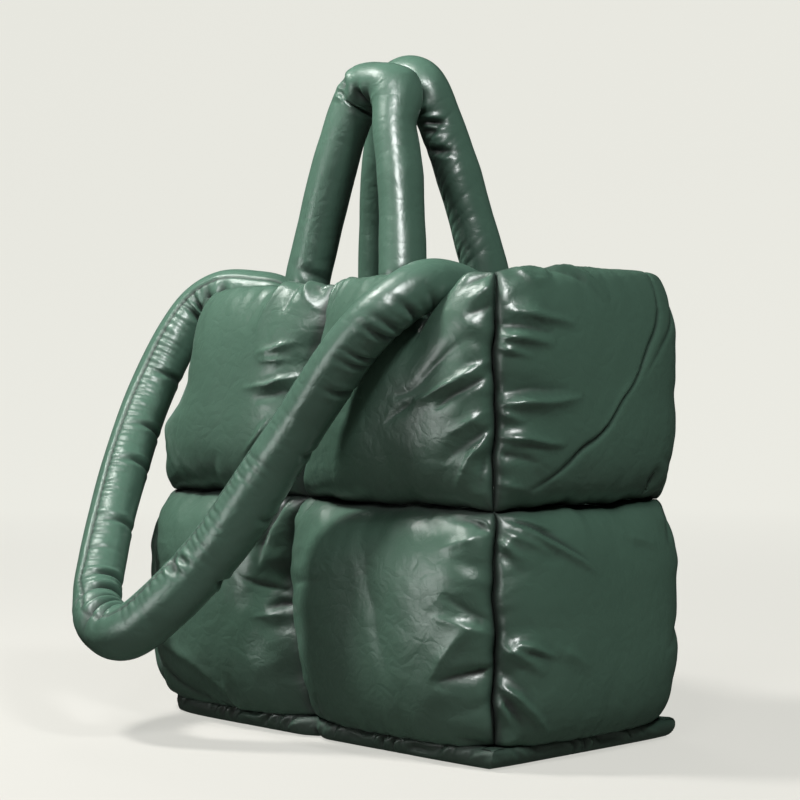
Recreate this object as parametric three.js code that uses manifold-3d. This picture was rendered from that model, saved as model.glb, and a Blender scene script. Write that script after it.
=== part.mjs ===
import * as THREE from "three";
import Module from "manifold-3d";

// A puffer tote bag, in millimetres, +Z up. Its front faces -Y and its right end faces +X.
// Twelve padded tiles stand round a padded base, seam to seam, and leave the mouth open.
// Two short stuffed handles and one long stuffed shoulder strap come out of the mouth.
// The origin lies on the ground under the middle of the base.

const wasm = await Module();
wasm.setup();

// Body
const WIDTH = 400; // between the seams of the two ends
const DEPTH = 196; // between the seams of the front and the back
const BOTTOM_SEAM = 20; // height of the seam between the walls and the base
const MID_SEAM = 204; // height of the seam between the two rows of tiles
const RIM = 390; // height of the seam round the mouth
const WALL_BULGE = 41; // how far a front or back tile swells outwards
const END_BULGE = 40; // how far an end tile swells outwards
const LOWER_SAG = 3; // how much further the lower tiles swell
const INNER_BULGE = 7; // how far a tile swells into the bag
const SEAM_THICKNESS = 3; // cloth and padding stitched flat
const BASE_OVERHANG = 24; // how far the squashed base swells out past its seam
const BASE_THICKNESS = 27; // padded base at its middle

// Mouth, drawn together where the handles pull on it
const FRONT_RIM_BOW = 6;
const BACK_RIM_BOW = 52;
const STRAP_DIP = 40; // how far the strap presses the rim down where it crosses
const STRAP_DIP_WIDTH = 27;

// Handles and strap
const HANDLE_DIAMETER = 40;
const HANDLE_SPREAD = 124; // between the middles of one handle's two feet
const FRONT_HANDLE_TOP = 581; // highest point of the front handle
const BACK_HANDLE_TOP = 589;
const HANDLE_ARCH = 28; // radius of the fold at the top of a handle
const FOOT_DEPTH = 24; // how far the feet reach down inside the mouth
const FOOT_PRESS = 1.2; // how far a foot presses into the padding beside it
const STRAP_DIAMETER = 43;

// Clearances
const GAP = 0.3; // between touching pieces

// Fineness of the meshes
const TILE_CELLS = 14;
const BASE_CELLS = 8;
const TUBE_SIDES = 10;
const HANDLE_STEPS = 34;
const STRAP_STEPS = 64;

const SHELL = { color: 0x47604f, roughness: 0.34, metalness: 0 };
const TUBE = { color: 0x3f5848, roughness: 0.3, metalness: 0 };

// The four corners of the bag at each seam, as shares of half the width, half the depth and
// the seam's height
const SQUARE = [[-1, -1, 1], [1, -1, 1], [1, 1, 1], [-1, 1, 1]];
const SLACK_RIM = [[-0.9, -0.82, 0.965], [1, -1, 1], [1, 1, 1], [-0.92, 0.88, 0.98]];
const SEAM_ROWS = [
  { height: BOTTOM_SEAM, corners: SQUARE },
  { height: MID_SEAM, corners: SQUARE },
  { height: RIM, corners: SLACK_RIM },
];

// The four walls in turn, each from one corner to the next, with its tiles from first to last
const WALLS = [
  { columns: ["front_left", "front_right"], bulge: WALL_BULGE, bow: FRONT_RIM_BOW },
  { columns: ["right_end"], bulge: END_BULGE, bow: 0 },
  { columns: ["back_right", "back_left"], bulge: WALL_BULGE, bow: BACK_RIM_BOW },
  { columns: ["left_end"], bulge: END_BULGE, bow: 0 },
];

// Where the strap crosses the rim: the wall, and the share of that wall's length
const CROSSINGS = [
  { wall: 0, share: 0.84 },
  { wall: 3, share: 0.5 },
];

// Main folds of the tiles. Places are shares of half a tile, depth is a share of the bulge.
const FOLDS = {
  front_left_upper: [
    { from: [-0.5, 0.75], to: [-0.1, 0.3], depth: -0.16, width: 0.2 },
    { from: [-0.1, 0.05], to: [0.35, -0.1], depth: -0.12, width: 0.16 },
    { from: [0.72, 0.95], to: [0.8, 0.45], depth: -0.3, width: 0.16 },
  ],
  front_right_upper: [
    { from: [-0.7, 0.95], to: [-0.75, 0.5], depth: -0.3, width: 0.16 },
    { from: [0.2, -0.1], to: [0.75, -0.55], depth: -0.16, width: 0.16 },
    { from: [0.1, 0.55], to: [0.75, 0.2], depth: -0.14, width: 0.2 },
  ],
  front_left_lower: [
    { from: [-0.1, 0.9], to: [-0.3, 0.4], depth: -0.14, width: 0.18 },
    { from: [0.75, 0.35], to: [0.7, -0.5], depth: -0.12, width: 0.2 },
  ],
  front_right_lower: [
    { from: [0.55, 0.92], to: [0.75, 0.55], depth: -0.25, width: 0.16 },
    { from: [0.9, -0.55], to: [0.35, -0.35], depth: -0.2, width: 0.16 },
    { from: [-0.8, 0.8], to: [-0.35, 0.5], depth: -0.12, width: 0.18 },
  ],
  right_end_upper: [
    { from: [0.7, 0.85], to: [-0.45, -0.6], depth: -0.2, width: 0.14 },
    { from: [-0.9, 0.1], to: [-0.2, 0.25], depth: -0.14, width: 0.16 },
    { from: [-0.85, 0.85], to: [-0.35, 0.7], depth: -0.2, width: 0.16 },
  ],
  right_end_lower: [
    { from: [-0.9, 0.85], to: [0, 0.2], depth: -0.22, width: 0.18 },
    { from: [-0.9, -0.25], to: [-0.4, -0.5], depth: -0.14, width: 0.16 },
    { from: [-0.9, -0.7], to: [-0.3, -0.95], depth: -0.16, width: 0.16 },
  ],
};

// Side of the base panel from its seam inwards: how far in, how far out and how far down
const BASE_SIDE = [
  { inset: 0, out: 0, drop: 0 },
  { inset: 0.01, out: 0.6, drop: 0.34 },
  { inset: 0.02, out: 1, drop: 0.6 },
  { inset: 0.04, out: 1.05, drop: 0.85 },
  { inset: 0.08, out: 0.8, drop: 1 },
];

// A handle from the rim to the top of its leg, as shares of the spread left and of the height
const HANDLE_LEG = [
  { spread: 1, rise: 0 },
  { spread: 0.86, rise: 0.2 },
  { spread: 0.5, rise: 0.6 },
  { spread: 0.14, rise: 0.9 },
];

// The strap's hanging loop, as shares of half the width, half the depth and the rim height.
// It starts inside the left end, hangs clear of the front and comes back over the front rim.
const STRAP_ROUTE = [
  { x: -0.775, y: 0.05, z: 0.86 },
  { x: -0.785, y: 0.05, z: 0.92 },
  { x: -0.87, y: 0.03, z: 0.967 },
  { x: -1.03, y: 0, z: 0.983 },
  { x: -1.2, y: -0.08, z: 0.985 },
  { x: -1.32, y: -0.18, z: 0.953 },
  { x: -1.37, y: -0.36, z: 0.885 },
  { x: -1.38, y: -0.71, z: 0.735 },
  { x: -1.2, y: -1.33, z: 0.54 },
  { x: -0.99, y: -1.87, z: 0.368 },
  { x: -0.87, y: -2.12, z: 0.3 },
  { x: -0.7, y: -2.33, z: 0.247 },
  { x: -0.48, y: -2.4, z: 0.238 },
  { x: -0.31, y: -2.28, z: 0.298 },
  { x: -0.11, y: -2.03, z: 0.423 },
  { x: 0.17, y: -1.77, z: 0.637 },
  { x: 0.5, y: -1.6, z: 0.857 },
  { x: 0.64, y: -1.47, z: 0.93 },
  { x: 0.71, y: -1.22, z: 0.975 },
  { x: 0.73, y: -0.95, z: 0.975 },
  { x: 0.76, y: -0.62, z: 0.94 },
  { x: 0.82, y: -0.34, z: 0.888 },
  { x: 0.868, y: -0.1, z: 0.825 },
];

// How far the swelling leans over each kind of seam, as a slope
const SEAM_PUSH = 0.4; // one tile of a row against the tile before it
const UNDER_LEAN = 0.45; // lowest tiles, down over the base
const RIM_LEAN = 0.9; // uppermost tiles, up over the rim

const UP = new THREE.Vector3(0, 0, 1);

function smooth(share) {
  return share * share * (3 - 2 * share);
}

// Corner of the bag between two seams: row counts from the bottom seam, and may be in between
function corner(index, row) {
  const low = SEAM_ROWS[Math.min(Math.floor(row), 1)];
  const high = SEAM_ROWS[Math.min(Math.floor(row), 1) + 1];
  const share = row - Math.min(Math.floor(row), 1);
  const point = (seam) =>
    new THREE.Vector3(
      (seam.corners[index % 4][0] * WIDTH) / 2,
      (seam.corners[index % 4][1] * DEPTH) / 2,
      seam.corners[index % 4][2] * seam.height,
    );
  return point(low).lerp(point(high), share);
}

function wallDirection(wall, row) {
  return corner(wall + 1, row).sub(corner(wall, row)).setZ(0).normalize();
}

function wallNormal(wall, row) {
  return wallDirection(wall, row).cross(UP);
}

// How far the strap presses the rim down at a share of a wall's length
function rimDip(wall, share) {
  const length = corner(wall + 1, 2).distanceTo(corner(wall, 2));
  return CROSSINGS.filter((crossing) => crossing.wall === wall).reduce((dip, crossing) => {
    const away = ((share - crossing.share) * length) / STRAP_DIP_WIDTH;
    return dip + STRAP_DIP * Math.exp(-(away ** 2));
  }, 0);
}

// Point of the stitched wall at a share of its length and a row of its seams
function wallPoint(wall, share, row) {
  const point = corner(wall, row).lerp(corner(wall + 1, row), share);
  const rise = smooth(Math.max(row - 1, 0));
  const bow = WALLS[wall].bow * (4 * share * (1 - share)) ** 2 * rise;
  point.addScaledVector(wallNormal(wall, row), -bow);
  point.z -= rimDip(wall, share) * rise * rise;
  return point;
}

// Distance from a point to a fold, both in shares of half a tile
function distanceToFold(u, v, fold) {
  const [startU, startV] = fold.from;
  const [alongU, alongV] = [fold.to[0] - startU, fold.to[1] - startV];
  const reach = ((u - startU) * alongU + (v - startV) * alongV) / (alongU ** 2 + alongV ** 2);
  const share = Math.min(Math.max(reach, 0), 1);
  return Math.hypot(u - startU - alongU * share, v - startV - alongV * share);
}

function foldDepth(name, u, v) {
  return (FOLDS[name] ?? []).reduce(
    (depth, fold) => depth + fold.depth * Math.exp(-((distanceToFold(u, v, fold) / fold.width) ** 2)),
    0,
  );
}

// Small gathers that fade away from the two long seams of a tile
function gathers(u, v) {
  const nearSeam = Math.exp(-(1 - Math.abs(v)) / 0.22);
  return 0.07 * nearSeam * Math.sin(9.5 * u + 2.2 * v + 0.6);
}

// Crown of a tile: flat over its middle and steep beside its seams
function crown(share) {
  return Math.max(1 - Math.abs(share) ** 3.2, 0) ** 0.36;
}

// A tile's own frame: point(u, v, true) is on its outer face, point(u, v, false) on its inner one
function tileShape(name, wall, column, row) {
  const { columns } = WALLS[wall];
  const bulge = WALLS[wall].bulge + (row === 0 ? LOWER_SAG : 0);
  const length = corner(wall + 1, row).distanceTo(corner(wall, row)) / columns.length;
  const height = SEAM_ROWS[row + 1].height - SEAM_ROWS[row].height;
  const firstCorner = column === 0;
  const lastCorner = column === columns.length - 1;

  function normalAt(u, v, seamRow) {
    const square = wallNormal(wall, seamRow);
    const beside = u < 0 ? wallNormal((wall + 3) % 4, seamRow) : wallNormal((wall + 1) % 4, seamRow);
    const turns = u < 0 ? firstCorner : lastCorner;
    const pushed = square.clone().addScaledVector(wallDirection(wall, seamRow), -SEAM_PUSH);
    const mitre = turns ? square.clone().add(beside) : pushed;
    const normal = square.clone().lerp(mitre.normalize(), Math.abs(u) ** 3);
    if (row === 0 && v < 0) normal.addScaledVector(UP, -UNDER_LEAN * v ** 4);
    if (row === 1 && v > 0) normal.addScaledVector(UP, RIM_LEAN * v ** 4);
    return normal.normalize();
  }

  return function point(u, v, outside) {
    const across = u * (1 - GAP / length);
    const upwards = v * (1 - GAP / height);
    const seamRow = row + (upwards + 1) / 2;
    const middle = wallPoint(wall, (column + (across + 1) / 2) / columns.length, seamRow);
    const swell = outside
      ? bulge * crown(u) * crown(v) * (1 + foldDepth(name, u, v) + gathers(u, v))
      : -INNER_BULGE * (1 - u * u) * (1 - v * v) * (1 - v * row);
    const half = outside ? SEAM_THICKNESS / 2 : -SEAM_THICKNESS / 2;
    return middle.addScaledVector(normalAt(u, v, seamRow), half + swell);
  };
}

// Grid places from -1 to 1, closer together near the seams
function seamSpacing(cells) {
  return Array.from({ length: cells + 1 }, (_, i) => Math.sin((Math.PI / 2) * ((2 * i) / cells - 1)));
}

// Places round the border of a grid, anticlockwise
function border(places) {
  const last = places.length - 1;
  const along = Array.from({ length: last }, (_, i) => i);
  return [
    ...along.map((i) => [i, 0]),
    ...along.map((i) => [last, i]),
    ...along.map((i) => [last - i, last]),
    ...along.map((i) => [0, last - i]),
  ];
}

// Closed solid between an outer grid and an inner fan that share one border
function pillowGeometry(point, places) {
  const count = places.length;
  const vertices = [];
  const triangles = [];
  const add = (vertex) => vertices.push(vertex) - 1;
  const outer = places.map((v) => places.map((u) => add(point(u, v, true))));
  for (let j = 0; j + 1 < count; j += 1) {
    for (let i = 0; i + 1 < count; i += 1) {
      triangles.push([outer[j][i], outer[j][i + 1], outer[j + 1][i + 1]]);
      triangles.push([outer[j][i], outer[j + 1][i + 1], outer[j + 1][i]]);
    }
  }
  const loop = border(places);
  const ring = (scale) =>
    loop.map(([i, j]) => add(point(places[i] * scale, places[j] * scale, false)));
  const rings = [loop.map(([i, j]) => outer[j][i]), ring(1), ring(0.6)];
  const centre = add(point(0, 0, false));
  loop.forEach((_, k) => {
    const next = (k + 1) % loop.length;
    rings.slice(0, -1).forEach((outerRing, r) => {
      const innerRing = rings[r + 1];
      triangles.push([outerRing[k], innerRing[k], innerRing[next]]);
      triangles.push([outerRing[k], innerRing[next], outerRing[next]]);
    });
    const last = rings[rings.length - 1];
    triangles.push([last[k], centre, last[next]]);
  });
  const geometry = new THREE.BufferGeometry().setFromPoints(vertices);
  geometry.setIndex(triangles.flat());
  geometry.computeVertexNormals();
  return geometry;
}

// Padded base: flat on the ground, swollen out past its seam, pulled in at its middle seam
function basePoint(u, v, outside) {
  const inset = Math.min(1 - Math.abs(u), 1 - Math.abs(v));
  const side = (share) => {
    const from = 1 - Math.abs(share);
    const next = BASE_SIDE.findIndex((entry) => entry.inset >= from);
    if (next === 0) return BASE_SIDE[0];
    if (next < 0) return { out: 0.8 * Math.max(0, 1 - (from - 0.08) / 0.3), drop: 1 };
    const [low, high] = [BASE_SIDE[next - 1], BASE_SIDE[next]];
    const part = (from - low.inset) / (high.inset - low.inset);
    return {
      out: low.out + (high.out - low.out) * part,
      drop: low.drop + (high.drop - low.drop) * part,
    };
  };
  const notch = 1 - Math.exp(-((u / 0.05) ** 2));
  const halfWidth = WIDTH / 2 - GAP;
  const halfDepth = DEPTH / 2 - GAP;
  const swellX = BASE_OVERHANG * side(u).out * (1 - v ** 4);
  const swellY = BASE_OVERHANG * side(v).out * (1 - u ** 6) * (0.55 + 0.45 * notch);
  const x = u * halfWidth + Math.sign(u) * swellX;
  const y = v * halfDepth + Math.sign(v) * swellY;
  if (outside) {
    const drop = side(u).drop * side(v).drop;
    return new THREE.Vector3(-x, y, (BOTTOM_SEAM - SEAM_THICKNESS) * (1 - drop));
  }
  const crownHeight = (BASE_THICKNESS - BOTTOM_SEAM) * (1 - u ** 4) * (1 - v ** 4);
  return new THREE.Vector3(-u * halfWidth, v * halfDepth, BOTTOM_SEAM - GAP + crownHeight * (inset > 0 ? 1 : 0));
}

// Stuffed tube along a smooth line through a few points
function tubeGeometry(points, diameter, steps) {
  const section = new THREE.Shape(
    Array.from({ length: TUBE_SIDES }, (_, i) => {
      const turn = (2 * Math.PI * i) / TUBE_SIDES;
      return new THREE.Vector2((diameter / 2) * Math.cos(turn), (diameter / 2) * Math.sin(turn));
    }),
  );
  const path = new THREE.CatmullRomCurve3(points, false, "centripetal");
  return new THREE.ExtrudeGeometry(section, { steps, extrudePath: path, bevelEnabled: false });
}

// Middle of a handle's foot beside the rim of its wall, on the left or the right
function footPoint(wall, side) {
  const span = corner(wall, 2).x - corner(wall + 1, 2).x;
  const share = (corner(wall, 2).x - (side * HANDLE_SPREAD) / 2) / span;
  const beside = 0.02;
  const along = wallPoint(wall, share + beside, 2).sub(wallPoint(wall, share - beside, 2)).setZ(0);
  const inwards = UP.clone().cross(along).normalize();
  const reach = SEAM_THICKNESS / 2 + HANDLE_DIAMETER / 2 - FOOT_PRESS;
  return wallPoint(wall, share, 2).addScaledVector(inwards, reach);
}

function handlePoints(wall) {
  const feet = [footPoint(wall, -1), footPoint(wall, 1)];
  const otherFoot = footPoint((wall + 2) % 4, 1);
  const meeting = (feet[1].y + otherFoot.y) / 2;
  const topY = meeting + Math.sign(feet[1].y - otherFoot.y) * (HANDLE_DIAMETER / 2 + GAP);
  const topZ = (wall === 0 ? FRONT_HANDLE_TOP : BACK_HANDLE_TOP) - HANDLE_DIAMETER / 2;
  const springZ = topZ - HANDLE_ARCH;
  const leg = (foot) => {
    const side = Math.sign(foot.x);
    const rows = HANDLE_LEG.map((entry) => {
      const x = side * (HANDLE_ARCH + (Math.abs(foot.x) - HANDLE_ARCH) * entry.spread);
      const share = (entry.rise * (springZ - RIM)) / (topZ - RIM);
      return new THREE.Vector3(x, foot.y + (topY - foot.y) * share, RIM + entry.rise * (springZ - RIM));
    });
    const root = new THREE.Vector3(foot.x, foot.y, RIM - FOOT_DEPTH);
    return [root, ...rows];
  };
  const arch = [150, 120, 90, 60, 30].map((degrees) => {
    const turn = THREE.MathUtils.degToRad(degrees);
    const z = springZ + HANDLE_ARCH * Math.sin(turn);
    return new THREE.Vector3(HANDLE_ARCH * Math.cos(turn), topY, z);
  });
  return [...leg(feet[0]), ...arch, ...leg(feet[1]).reverse()];
}

function strapPoints() {
  return STRAP_ROUTE.map(
    (place) => new THREE.Vector3((place.x * WIDTH) / 2, (place.y * DEPTH) / 2, place.z * RIM),
  );
}

// Solid of a closed geometry, with its shared vertices merged
function solidOf(geometry) {
  const source = geometry.index ? geometry.toNonIndexed() : geometry;
  const position = source.getAttribute("position");
  const places = new Map();
  const vertices = [];
  const triangles = [];
  for (let i = 0; i < position.count; i += 1) {
    const place = [position.getX(i), position.getY(i), position.getZ(i)];
    const key = place.map((value) => value.toFixed(4)).join(" ");
    if (!places.has(key)) {
      places.set(key, vertices.length / 3);
      vertices.push(...place);
    }
    triangles.push(places.get(key));
  }
  const mesh = new wasm.Mesh({
    numProp: 3,
    vertProperties: new Float32Array(vertices),
    triVerts: new Uint32Array(triangles),
  });
  return new wasm.Manifold(mesh);
}

// A geometry with the others cut out of it
function cutGeometry(geometry, cutters) {
  const left = cutters.reduce((solid, cutter) => solid.subtract(cutter), solidOf(geometry));
  const mesh = left.getMesh();
  const cut = new THREE.BufferGeometry();
  cut.setAttribute("position", new THREE.BufferAttribute(mesh.vertProperties, 3));
  cut.setIndex(new THREE.BufferAttribute(mesh.triVerts, 1));
  return cut;
}

function piece(name, geometry, finish) {
  const mesh = new THREE.Mesh(geometry, new THREE.MeshStandardMaterial(finish));
  mesh.name = name;
  return mesh;
}

function makeTiles() {
  const group = new THREE.Group();
  const cutters = [
    tubeGeometry(strapPoints(), STRAP_DIAMETER + 2 * GAP, STRAP_STEPS),
    tubeGeometry(handlePoints(0), HANDLE_DIAMETER + 2 * GAP, HANDLE_STEPS),
    tubeGeometry(handlePoints(2), HANDLE_DIAMETER + 2 * GAP, HANDLE_STEPS),
  ].map(solidOf);
  WALLS.forEach((wallRow, wall) => {
    wallRow.columns.forEach((columnName, column) => {
      ["lower", "upper"].forEach((rowName, row) => {
        const name = `${columnName}_${rowName}`;
        const point = tileShape(name, wall, column, row);
        const whole = pillowGeometry(point, seamSpacing(TILE_CELLS));
        group.add(piece(name, cutGeometry(whole, cutters), SHELL));
      });
    });
  });
  return group;
}

function makeBase() {
  const sideInsets = BASE_SIDE.map((entry) => entry.inset);
  const inner = Array.from({ length: BASE_CELLS + 1 }, (_, i) => 0.84 * ((2 * i) / BASE_CELLS - 1));
  const places = [
    ...sideInsets.map((inset) => inset - 1),
    ...inner,
    ...sideInsets.map((inset) => 1 - inset).reverse(),
  ];
  return piece("base_panel", pillowGeometry(basePoint, places), SHELL);
}

function makeHandles() {
  const group = new THREE.Group();
  group.add(piece("front_handle", tubeGeometry(handlePoints(0), HANDLE_DIAMETER, HANDLE_STEPS), TUBE));
  group.add(piece("back_handle", tubeGeometry(handlePoints(2), HANDLE_DIAMETER, HANDLE_STEPS), TUBE));
  return group;
}

function makeStrap() {
  return piece("shoulder_strap", tubeGeometry(strapPoints(), STRAP_DIAMETER, STRAP_STEPS), TUBE);
}

const bag = new THREE.Group();
bag.add(makeTiles(), makeBase(), makeHandles(), makeStrap());

export default bag;
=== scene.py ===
import math

import bpy
import numpy as np
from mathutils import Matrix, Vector, noise


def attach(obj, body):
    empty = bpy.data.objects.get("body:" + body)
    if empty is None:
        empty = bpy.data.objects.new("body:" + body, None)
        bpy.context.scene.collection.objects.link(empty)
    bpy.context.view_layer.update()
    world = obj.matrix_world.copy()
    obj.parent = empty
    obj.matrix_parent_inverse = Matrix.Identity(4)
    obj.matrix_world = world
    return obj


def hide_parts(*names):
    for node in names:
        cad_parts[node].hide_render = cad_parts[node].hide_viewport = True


# A puffer tote bag in dark green coated nylon, in metres, +Z up, front facing -Y.
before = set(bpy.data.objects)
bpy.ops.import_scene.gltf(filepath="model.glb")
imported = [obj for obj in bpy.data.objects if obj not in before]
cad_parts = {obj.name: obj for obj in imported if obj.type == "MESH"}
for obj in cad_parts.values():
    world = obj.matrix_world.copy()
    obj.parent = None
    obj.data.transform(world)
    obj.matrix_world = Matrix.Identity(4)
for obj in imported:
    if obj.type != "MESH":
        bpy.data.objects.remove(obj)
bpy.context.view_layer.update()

# The photo is taken from this side
CAMERA_TURN = math.radians(46)
RIGHT = Vector((math.cos(CAMERA_TURN), math.sin(CAMERA_TURN), 0))
TOWARDS = Vector((math.sin(CAMERA_TURN), -math.cos(CAMERA_TURN), 0))

# Body, the same sizes as the solids
WIDTH = 0.400
DEPTH = 0.196
BOTTOM_SEAM = 0.020
MID_SEAM = 0.204
RIM = 0.390
WALL_BULGE = 0.041
END_BULGE = 0.040
LOWER_SAG = 0.003
INNER_BULGE = 0.007
SEAM_THICKNESS = 0.003
BASE_THICKNESS = 0.027
FRONT_RIM_BOW = 0.006
BACK_RIM_BOW = 0.052
STRAP_DIP = 0.040
STRAP_DIP_WIDTH = 0.027
SEAM_PUSH = 0.4
RIM_LEAN = 0.9
GAP = 0.0003

# How far the lower tiles lean down below their middle, a little more than their solids
UNDER_LEAN = 0.6

# Tubes
HANDLE_DIAMETER = 0.040
HANDLE_SPREAD = 0.124
FRONT_HANDLE_TOP = 0.581
BACK_HANDLE_TOP = 0.589
HANDLE_ARCH = 0.028
FOOT_DEPTH = 0.024
FOOT_PRESS = 0.0012
STRAP_DIAMETER = 0.043

# Slackness of the seams
SEAM_WANDER = 0.0012
FRONT_SEAM_PUSH = 0.018

# Fineness
SHEET_CELLS = 52
TILE_CELLS = 130
TUBE_SEGMENTS = 96
TUBE_STEP = 0.0014

# How much nearer to the front corner the strap hangs than its solid
STRAP_FORWARD = 0.012

# The strap pulls the front left corner in: how much of the upper tiles' swelling it takes, and,
# as shares of half a tile, from what height, how gradually and how far from the corner
CORNER_DENT = 0.85
DENT_FROM = -0.4
DENT_RISE = 0.55
DENT_REACH = 0.3

# How much fuller the lower tile of the left end is
LEFT_FULL = 0.013

# How deep a tube's long seam lies, and its width round the tube in degrees
SEAM_PULL = 0.001
SEAM_TURN = 4

# How close cloth lies to a tube that presses on it, and how far it gives beyond the seam's plane
PRESS_GAP = 0.0006
PRESS_DEEPEST = 0.012

# How many times higher than in their table the folds of the front and end cuts are laid
FOLD_RISE = {"front": 1.6, "right": 2.2}

# How much of the simulated wrinkles stays in the middle of a tile and at its seams
CALM_MIDDLE = 0.16
CALM_SEAMS = 0.42
CALM_REACH = 0.026

# How much of them an end tile loses towards its right edge
END_CALM = 0.75

# Depth at which the painted shade on cloth is full: in a tile's crease and in a tube's fold; and how
# far the painted shade along a tile's seam reaches
CREASE_SHADE = 0.0011
TUBE_SHADE = 0.004
SEAM_SHADE = 0.004

SQUARE = [(-1, -1, 1), (1, -1, 1), (1, 1, 1), (-1, 1, 1)]
SLACK_RIM = [(-0.9, -0.82, 0.965), (1, -1, 1), (1, 1, 1), (-0.92, 0.88, 0.98)]
SEAM_ROWS = [(BOTTOM_SEAM, SQUARE), (MID_SEAM, SQUARE), (RIM, SLACK_RIM)]

WALLS = [
    {"columns": ["front_left", "front_right"], "bulge": WALL_BULGE, "bow": FRONT_RIM_BOW},
    {"columns": ["right_end"], "bulge": END_BULGE, "bow": 0},
    {"columns": ["back_right", "back_left"], "bulge": WALL_BULGE, "bow": BACK_RIM_BOW},
    {"columns": ["left_end"], "bulge": END_BULGE, "bow": 0},
]
CROSSINGS = [(0, 0.84), (3, 0.5)]

HANDLE_LEG = [(1, 0), (0.86, 0.2), (0.5, 0.6), (0.14, 0.9)]

STRAP_ROUTE = [
    (-0.775, 0.05, 0.86), (-0.785, 0.05, 0.92), (-0.87, 0.03, 0.967), (-1.03, 0, 0.983),
    (-1.2, -0.08, 0.985), (-1.32, -0.18, 0.953), (-1.37, -0.36, 0.885), (-1.38, -0.71, 0.735),
    (-1.2, -1.33, 0.54), (-0.99, -1.87, 0.368), (-0.87, -2.12, 0.3), (-0.7, -2.33, 0.247),
    (-0.48, -2.4, 0.238), (-0.31, -2.28, 0.298), (-0.11, -2.03, 0.423), (0.17, -1.77, 0.637),
    (0.5, -1.6, 0.857), (0.64, -1.47, 0.93), (0.71, -1.22, 0.975), (0.73, -0.95, 0.975),
    (0.76, -0.62, 0.94), (0.82, -0.34, 0.888), (0.868, -0.1, 0.825),
]

# Tiles whose cloth is simulated, and the tiles on the far sides that are sewn from the same cut
CUTS = ["front_left_lower", "front_right_lower", "right_end_lower",
        "front_left_upper", "front_right_upper", "right_end_upper"]
SAME_CUT = {
    "back_right_lower": "front_left_lower", "back_left_lower": "front_right_lower",
    "left_end_lower": "right_end_lower", "back_right_upper": "front_left_upper",
    "back_left_upper": "front_right_upper", "left_end_upper": "right_end_upper",
}
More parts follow.
